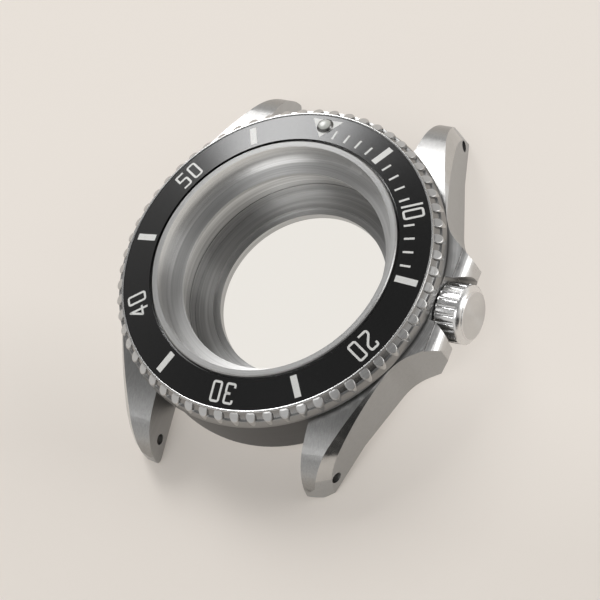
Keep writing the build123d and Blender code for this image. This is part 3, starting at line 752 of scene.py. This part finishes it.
# %% One stroke
def add_stroke(shape, points, closed, radius, place):
    """Adds one stroke to a shape. place turns a flat point and a lift into a point on the slope."""
    path = rounded_path(points, closed, radius)
    levels = []
    for lift, inset in PAINT_LEVELS:
        left, right = side_points(path, closed, STROKE / 2 - inset)
        levels.append(([shape.verts.new(place(point, lift)) for point in left],
                       [shape.verts.new(place(point, lift)) for point in right]))
    (low_left, low_right), (top_left, top_right) = levels[0], levels[-1]
    count = len(path)
    for i in range(count if closed else count - 1):
        k = (i + 1) % count
        shape.faces.new((top_left[i], top_left[k], top_right[k], top_right[i]))
        shape.faces.new((low_left[i], low_right[i], low_right[k], low_left[k]))
        for lower, upper in zip(levels, levels[1:]):
            shape.faces.new((lower[0][i], lower[0][k], upper[0][k], upper[0][i]))
            shape.faces.new((lower[1][k], lower[1][i], upper[1][i], upper[1][k]))
    if not closed:
        for end in (0, count - 1):
            for lower, upper in zip(levels, levels[1:]):
                shape.faces.new((lower[0][end], upper[0][end], upper[1][end], lower[1][end]))


def dial_point(minute, middle):
    """Returns a function that lays flat points on the insert, with their tops outwards."""
    turn = minute_angle(minute)
    outward = Vector((cos(turn), sin(turn)))
    clockwise = Vector((sin(turn), -cos(turn)))

    def place(point, lift):
        flat = outward * (middle + point[1]) + clockwise * point[0]
        return (flat.x, flat.y, insert_height(flat.length) + lift)
    return place


# %% Place the numbers
NUMBER_RADIUS = 17.2


def number_shape():
    """All five numbers in one mesh."""
    shape = bmesh.new()
    for minute in range(10, 60, 10):
        digits = str(minute)
        shifts = (-0.80, 0.32) if digits[0] == "1" else (-0.86, 0.90)
        place = dial_point(minute, NUMBER_RADIUS)
        for digit, across in zip(digits, shifts):
            for points, closed, radius in DIGITS[digit]:
                moved = [(x + across, y) for x, y in points]
                add_stroke(shape, moved, closed, radius, place)
    return shape


numbers = new_piece("minute_numbers", number_shape(), 20, paint)
print("number faces:", len(numbers.data.polygons))

# %% [markdown]
# The triangle at twelve is so wide that one flat face would sink into the sloping insert. It is
# cut into strips, and each point of a strip lies on the slope.

# %% The triangle at twelve
TRIANGLE_TIP, TRIANGLE_HEIGHT, TRIANGLE_HALF_WIDTH = 15.87, 2.59, 2.0
ACROSS = (-1, -0.5, 0, 0.5, 1)


def triangle_shape(rows=12):
    """The triangle, with every point on the slope."""
    shape = bmesh.new()
    place = dial_point(0, 0)
    levels = []
    for lift in (-PAINT_DOWN, PAINT_UP):
        strips = []
        for i in range(rows + 1):
            share = max(i / rows, 0.004)
            radius, half = TRIANGLE_TIP + TRIANGLE_HEIGHT * share, TRIANGLE_HALF_WIDTH * share
            strips.append([shape.verts.new(place((side * half, radius), lift)) for side in ACROSS])
        levels.append(strips)
    low, top = levels
    last = len(ACROSS) - 1
    for i in range(rows):
        for j in range(last):
            shape.faces.new((top[i][j], top[i][j + 1], top[i + 1][j + 1], top[i + 1][j]))
            shape.faces.new((low[i][j], low[i + 1][j], low[i + 1][j + 1], low[i][j + 1]))
        for j in (0, last):
            shape.faces.new((low[i][j], low[i + 1][j], top[i + 1][j], top[i][j]))
    for i in (0, rows):
        for j in range(last):
            shape.faces.new((low[i][j], low[i][j + 1], top[i][j + 1], top[i][j]))
    return shape


triangle = new_piece("zero_triangle", triangle_shape(), 20, paint)
for piece in (bars, ticks, numbers, triangle):
    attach(piece, "bezel")
print("triangle faces:", len(triangle.data.polygons))

# %% [markdown]
# ## The pip
# A pearl of luminous paste sits in a small metal cup in the triangle. The cup has a dark flared
# foot that covers the edge of its hole, and the pearl fills it to the brim. Both are small turned
# shapes, made upright at the origin and then tilted and carried to twelve o'clock.

# %% The cup and the pearl
PIP_RADIUS = 17.55
PEARL_RADIUS, PEARL_DOME = 0.755, 0.19

cup_section = [
    (0.0, -0.42), (0.80, -0.42), (0.80, 0.0), (0.98, 0.0), (1.0, 0.02), (0.96, 0.07),
    (0.87, 0.27), (0.84, 0.30), (0.80, 0.31), (0.77, 0.29), (0.76, 0.12), (0.0, 0.12),
]
dome = [step / 12 * pi / 2 for step in range(13)]
pearl_section = [(0.0, 0.14), (PEARL_RADIUS, 0.14)] + [
    (PEARL_RADIUS * cos(turn), 0.30 + PEARL_DOME * sin(turn)) for turn in dome]


def at_twelve(shape):
    """Tilts an upright shape with the insert and carries it to the bezel's zero."""
    place = (Matrix.Rotation(radians(BEZEL_TURN), 4, "Z")
             @ Matrix.Translation((0, PIP_RADIUS, insert_height(PIP_RADIUS)))
             @ Matrix.Rotation(-atan(CONE), 4, "X"))
    bmesh.ops.transform(shape, matrix=place, verts=shape.verts)
    return shape


cup_steel = polished_steel("cup_steel", 0.12, (0.16, 0.16, 0.158))
pearl, shader = speckled("pearl", 1500.0, 3.0, (0.44, 0.45, 0.42), (0.50, 0.51, 0.48), 0.3)
shader.inputs["Coat Weight"].default_value = 0.3
for name, section, finish, node in (("pip_cup_body", cup_section, cup_steel, "pip_cup"),
                                    ("pip_pearl", pearl_section, pearl, "pip_lume")):
    piece = new_piece(name, at_twelve(turned_shape(section, 64)), 30, finish)
    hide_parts(node)
    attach(piece, "bezel")
    print(name, "faces:", len(piece.data.polygons))

# %% [markdown]
# ## The crown
# The crown is the knob at three o'clock. Twenty-four flutes are cut along its side and stop
# short of the shoulder, and a satin disc with a bright edge closes it. The whole crown is one
# turned section, hollow like the real one, whose outer rows are pulled in at every flute. That
# keeps it one closed shell, where a Boolean for every flute can leave slivers.

# %% The crown's section
CROWN_Z = 4.1
FLUTES, FLUTE_RADIUS, FLUTE_CENTRE, CROWN_RADIUS = 24, 0.30, 3.56, 3.45
CROWN_START, CROWN_END = 20.35, 23.7
FLUTE_TOP = CROWN_END - 0.86
DISC_RADIUS = 2.74

crown_section = [
    (1.85, CROWN_START), (3.36, CROWN_START), (CROWN_RADIUS, CROWN_START + 0.09),
    (CROWN_RADIUS, 21.4), (CROWN_RADIUS, 22.2), (CROWN_RADIUS, FLUTE_TOP),
    (CROWN_RADIUS, FLUTE_TOP + 0.002), (CROWN_RADIUS, CROWN_END - 0.60),
    (3.44, CROWN_END - 0.56), (3.03, CROWN_END - 0.18), (3.00, CROWN_END - 0.165),
    (2.88, CROWN_END - 0.16), (2.84, CROWN_END - 0.12), (2.84, CROWN_END - 0.06),
    (2.79, CROWN_END - 0.01), (DISC_RADIUS, CROWN_END), (1.4, CROWN_END), (0.0, CROWN_END),
    (0.0, 22.8), (0.85, 22.8), (0.85, 19.65), (1.1, 19.65), (1.1, 22.8), (1.85, 22.8),
]


def fluted(radius, height, turn):
    """The radius at a turn: pulled in to the bottom of a flute where one is cut."""
    if radius < CROWN_RADIUS - 0.05 or height > FLUTE_TOP + 0.001:
        return radius
    pitch = tau / FLUTES
    off = (turn + pitch / 2) % pitch - pitch / 2
    inside = FLUTE_RADIUS ** 2 - (FLUTE_CENTRE * sin(off)) ** 2
    if inside <= 0:
        return radius
    return min(radius, FLUTE_CENTRE * cos(off) - sqrt(inside))


def on_crown_axis(shape):
    """Turns a shape made about Z onto the crown's axis."""
    turn = Matrix(((0, 0, 1), (1, 0, 0), (0, 1, 0))).to_4x4()
    bmesh.ops.transform(shape, matrix=Matrix.Translation((0, 0, CROWN_Z)) @ turn, verts=shape.verts)
    return shape


# %% The fluted crown
crown_bright = polished_steel("crown_flutes", 0.16, (0.80, 0.797, 0.79))
crown_satin = brushed_steel("turned_crown", (0.30, 0.36), 0.05, (0.62, 0.617, 0.61),
                            (0.68, 0.677, 0.67), about=CROWN_AXIS)
crown_shape = on_crown_axis(turned_shape(crown_section, FLUTES * 16, fluted))
for face in crown_shape.faces:
    centre = face.calc_center_median()
    away = hypot(centre.y, centre.z - CROWN_Z)
    on_disc = centre.x > CROWN_END - 0.001 and away < DISC_RADIUS
    face.material_index = 1 if on_disc else 0
crown = new_piece("crown", crown_shape, 35, crown_bright, crown_satin)
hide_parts("crown_head")
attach(crown, "crown")
print("crown faces:", len(crown.data.polygons))

# %% [markdown]
# ## Threads
# The tube carries a fine thread outside, which shows when the crown is unscrewed. A thread is a
# turned section whose rows shift along the axis by one pitch for every turn, so the radius
# follows a zigzag of height and turn. It is made on a fine grid, closed at both ends.

# %% The threaded tube
TUBE_LOW, TUBE_HIGH, THREAD_LOW = 16.2, 22.3, 20.2
TUBE_RADIUS, TUBE_BORE, GROOVE_RADIUS = 1.75, 1.2, 1.45
SEALS = (21.65, 20.85)  # the middles of the two grooves inside


def threaded_tube(pitch=0.35, depth=0.1, steps=72, rows_per_pitch=6):
    """The tube with a thread outside and two grooves for its seals inside."""
    length = TUBE_HIGH - 0.15 - THREAD_LOW
    count = int(length / pitch * rows_per_pitch)
    section = [(TUBE_RADIUS, TUBE_LOW)]
    section += [(TUBE_RADIUS, THREAD_LOW + length * i / count) for i in range(count + 1)]
    section += [(1.58, TUBE_HIGH), (TUBE_BORE, TUBE_HIGH)]
    for seal in SEALS:
        section += [(TUBE_BORE, seal + 0.2), (GROOVE_RADIUS, seal + 0.2),
                    (GROOVE_RADIUS, seal - 0.2), (TUBE_BORE, seal - 0.2)]
    section.append((TUBE_BORE, TUBE_LOW))

    def cut(radius, height, turn):
        if radius < TUBE_RADIUS - 0.01 or not THREAD_LOW < height < TUBE_HIGH - 0.1:
            return radius
        wave = (height / pitch - turn / tau) % 1
        fade = min(1, (height - THREAD_LOW) / pitch)
        return radius - depth * fade * abs(2 * wave - 1)
    return on_crown_axis(turned_shape(section, steps, cut))


tube_steel = brushed_steel("tube_steel", (0.2, 0.3), 0.1, about=CROWN_AXIS)
tube = new_piece("threaded_tube", threaded_tube(), 40, tube_steel)
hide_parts("crown_tube")
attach(tube, "case")
print("tube faces:", len(tube.data.polygons))

# %% [markdown]
# ## The parts that stay as they are
# The rehaut, the back, the insert, the seals, the springs and the pins already have their right
# shape. They only need a finish: turned steel for the rings, dull black rubber for the seals,
# blued-grey spring steel for the wire and the springs, and clear tape under the insert.

# %% Rubber, spring steel and tape
SPRING_DARK, SPRING_LIGHT = (0.36, 0.37, 0.39), (0.5, 0.51, 0.53)
turned_fine = brushed_steel("turned_rehaut", (0.46, 0.54), 0.1, (0.36, 0.358, 0.354),
                            (0.58, 0.578, 0.572), fast=7000.0)
turned_back = brushed_steel("turned_back", (0.28, 0.38), 0.16, (0.32, 0.318, 0.314),
                            (0.62, 0.617, 0.61), fast=7000.0)
spring_steel = brushed_steel("spring_steel", (0.2, 0.3), 0.1, SPRING_DARK, SPRING_LIGHT)
coil_steel = brushed_steel("coil_steel", (0.2, 0.3), 0.1, SPRING_DARK, SPRING_LIGHT,
                           about=CROWN_AXIS)
rubber, _ = speckled("seal_rubber", 4000.0, 5.0, (0.012,) * 3, (0.03,) * 3, (0.5, 0.7))
tape, _ = speckled("bond_tape", 3000.0, 4.0, (0.55, 0.53, 0.48), (0.66, 0.64, 0.58), 0.5)
finishes = {
    "rehaut_ring": turned_fine, "back_ring": turned_back, "back_gasket": rubber,
    "bezel_wire": spring_steel, "bezel_gasket": rubber, "click_spring": spring_steel,
    "click_pins": spring_steel, "tube_seals": rubber, "insert_adhesive": tape,
    "crown_gasket": rubber, "crown_retainer": tube_steel, "crown_post": tube_steel,
    "crown_spring": coil_steel, "bezel_insert": black,
}
for node, finish in finishes.items():
    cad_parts[node].data.materials[0] = finish
print("nodes kept as they are:", len(finishes))

# %% [markdown]
# ## Floor and light
# The case lies on a plain warm-white table. For the camera the floor is partly its own flat
# colour, to stay even, and partly lit, to take the case's soft shadow. In the photograph the
# case leans on its two lower lugs and only there is the shadow dark. Here it lies flat, so the
# lit share shrinks towards the upper end instead. Below the open back the table is as bright
# as a light box, which shines up the bore and makes the opening read as empty.

# %% The floor
def mixed(nodes, links, factor, first, second):
    """A mix of two shaders by a factor."""
    mix = nodes.new("ShaderNodeMixShader")
    for socket, value in zip(mix.inputs, (factor, first, second)):
        links.new(value, socket)
    return mix.outputs[0]


TABLE_COLOUR = (0.823, 0.768, 0.708, 1)
LIGHT_BOX_COLOUR, LIGHT_BOX_RADIUS = (0.83, 0.80, 0.75, 1), 0.0107
EVEN_LOW, EVEN_HIGH = 0.14, 0.72  # flat share at the lower lugs, and higher up
EVEN_FROM, EVEN_TO = -0.024, -0.006  # where along Y it changes


def floor_material():
    """Even to the eye, lit enough to carry a shadow, and bright below the opening."""
    material, nodes, links, lit = new_material("table")
    lit.inputs["Base Color"].default_value = TABLE_COLOUR
    lit.inputs["Roughness"].default_value = 0.9
    lit.inputs["Specular IOR Level"].default_value = 0.0
    flat, light_box = nodes.new("ShaderNodeEmission"), nodes.new("ShaderNodeEmission")
    flat.inputs["Color"].default_value = TABLE_COLOUR
    light_box.inputs["Color"].default_value = LIGHT_BOX_COLOUR
    split = nodes.new("ShaderNodeSeparateXYZ")
    links.new(object_place(nodes), split.inputs[0])
    x, y = split.outputs["X"], split.outputs["Y"]
    below = add_math(nodes, links, "LESS_THAN", flat_length(nodes, links, x, y), LIGHT_BOX_RADIUS)
    path = nodes.new("ShaderNodeLightPath").outputs
    seen = add_math(nodes, links, "MAXIMUM", path["Is Camera Ray"], path["Is Glossy Ray"])
    evenness = between(nodes, links, y, EVEN_LOW, EVEN_HIGH, EVEN_FROM, EVEN_TO)
    share = add_math(nodes, links, "MULTIPLY", seen, evenness)
    surface = mixed(nodes, links, share, lit.outputs[0], flat.outputs[0])
    surface = mixed(nodes, links, below, surface, light_box.outputs[0])
    links.new(surface, nodes["Material Output"].inputs["Surface"])
    return material


floor_shape = bmesh.new()
bmesh.ops.create_grid(floor_shape, x_segments=2, y_segments=2, size=1500)
floor = new_piece("floor", floor_shape, 30, floor_material())
print("floor width in metres:", round(floor.dimensions.x, 2))

# %% [markdown]
# Steel shows nothing but what stands around it, so the room matters more than the lamps. The
# world is a grey studio: pale at the horizon, dark overhead, and almost black low on the side
# of the camera, which the steep facets that face it mirror. To the camera itself the world has
# the colour of the table, so the floor has no edge.

# %% The world
DARK_SIDE = (0.77, -0.61, 0.17)  # towards the dark part of the room
DARK_FROM, DARK_TO = 0.86, 0.96  # cosines of the angle to its middle
DARK_LEFT = 0.05  # share of the light that is left there
ROOM_COLOURS = (  # sine of the height above the horizon, and the colour there
    (0.0, (1.0, 0.98, 0.95, 1)), (0.45, (0.60, 0.592, 0.583, 1)), (0.85, (0.25, 0.25, 0.25, 1)),
)


def studio_world():
    """A grey room that is pale at the horizon, dark overhead and darkest on the camera's side."""
    world = bpy.data.worlds.new("studio")
    world.use_nodes = True
    nodes, links = world.node_tree.nodes, world.node_tree.links
    direction = nodes.new("ShaderNodeTexCoord").outputs["Generated"]
    split = nodes.new("ShaderNodeSeparateXYZ")
    links.new(direction, split.inputs[0])
    ramp = nodes.new("ShaderNodeValToRGB")
    stops = ramp.color_ramp.elements
    stops.new(0.5)
    for stop, (position, colour) in zip(stops, ROOM_COLOURS):
        stop.position, stop.color = position, colour
    links.new(split.outputs["Z"], ramp.inputs["Fac"])
    toward = add_node(nodes, links, "ShaderNodeVectorMath", "DOT_PRODUCT", direction, DARK_SIDE)
    lit_share = between(nodes, links, toward.outputs["Value"], 1.0, DARK_LEFT, DARK_FROM, DARK_TO)
    dimmed = add_vector_math(nodes, links, "MULTIPLY", ramp.outputs["Color"], lit_share)
    room, wall = nodes["Background"], nodes.new("ShaderNodeBackground")
    links.new(dimmed, room.inputs["Color"])
    wall.inputs["Color"].default_value = TABLE_COLOUR
    seen = nodes.new("ShaderNodeLightPath").outputs["Is Camera Ray"]
    links.new(mixed(nodes, links, seen, room.outputs[0], wall.outputs[0]),
              nodes["World Output"].inputs["Surface"])
    return world


bpy.context.scene.world = studio_world()
print("world nodes:", len(bpy.context.scene.world.node_tree.nodes))

# %% [markdown]
# One large soft lamp stands behind the case on the left and draws the bright sheen on the far
# side of the insert. A second lights the teeth from the crown's side, a faint one fills the
# front, and a fourth looks down into the bore. Steel shows a lamp only where a face mirrors it
# towards the camera, so moving a lamp moves its highlight to other faces.

# %% The lamps
LAMP_TARGET = Vector((0, 0, 0.005))


def softbox(name, place, width, height, power):
    """A rectangular lamp that looks at the case."""
    lamp = bpy.data.lights.new(name, "AREA")
    lamp.shape = "RECTANGLE"
    lamp.size, lamp.size_y, lamp.energy = width, height, power
    holder = linked(name, lamp)
    holder.location = place
    holder.rotation_mode = "QUATERNION"
    holder.rotation_quaternion = (LAMP_TARGET - Vector(place)).to_track_quat("-Z", "Y")
    print(name, "watts:", power)


softbox("key_behind_left", (-0.454, 0.505, 0.456), 0.24, 0.34, 3.0)
softbox("fill_right", (0.773, 0.344, 0.308), 0.45, 0.36, 1.7)
softbox("fill_front", (-0.42, -0.60, 0.46), 0.50, 0.40, 0.1)
softbox("bore_light", (-0.057, -0.323, 0.617), 0.36, 0.30, 1.0)

# %% [markdown]
# ## Camera
# The photograph was taken from above and from the crown's side, with a long lens. The place,
# turn and focal length below were found by laying the solids over the photograph.

# %% The camera
lens = bpy.data.cameras.new("camera")
lens.sensor_width = 36
lens.lens = 219.89
lens.clip_start, lens.clip_end = 0.05, 5
camera = linked("camera", lens)
camera.location = (0.20442, -0.13863, 0.34973)
camera.rotation_mode = "QUATERNION"
camera.rotation_quaternion = (0.943262, 0.203380, 0.224426, 0.136115)
bpy.context.scene.camera = camera
bpy.context.scene.view_settings.view_transform = "Standard"
print("camera distance in metres:", round(camera.location.length, 3))
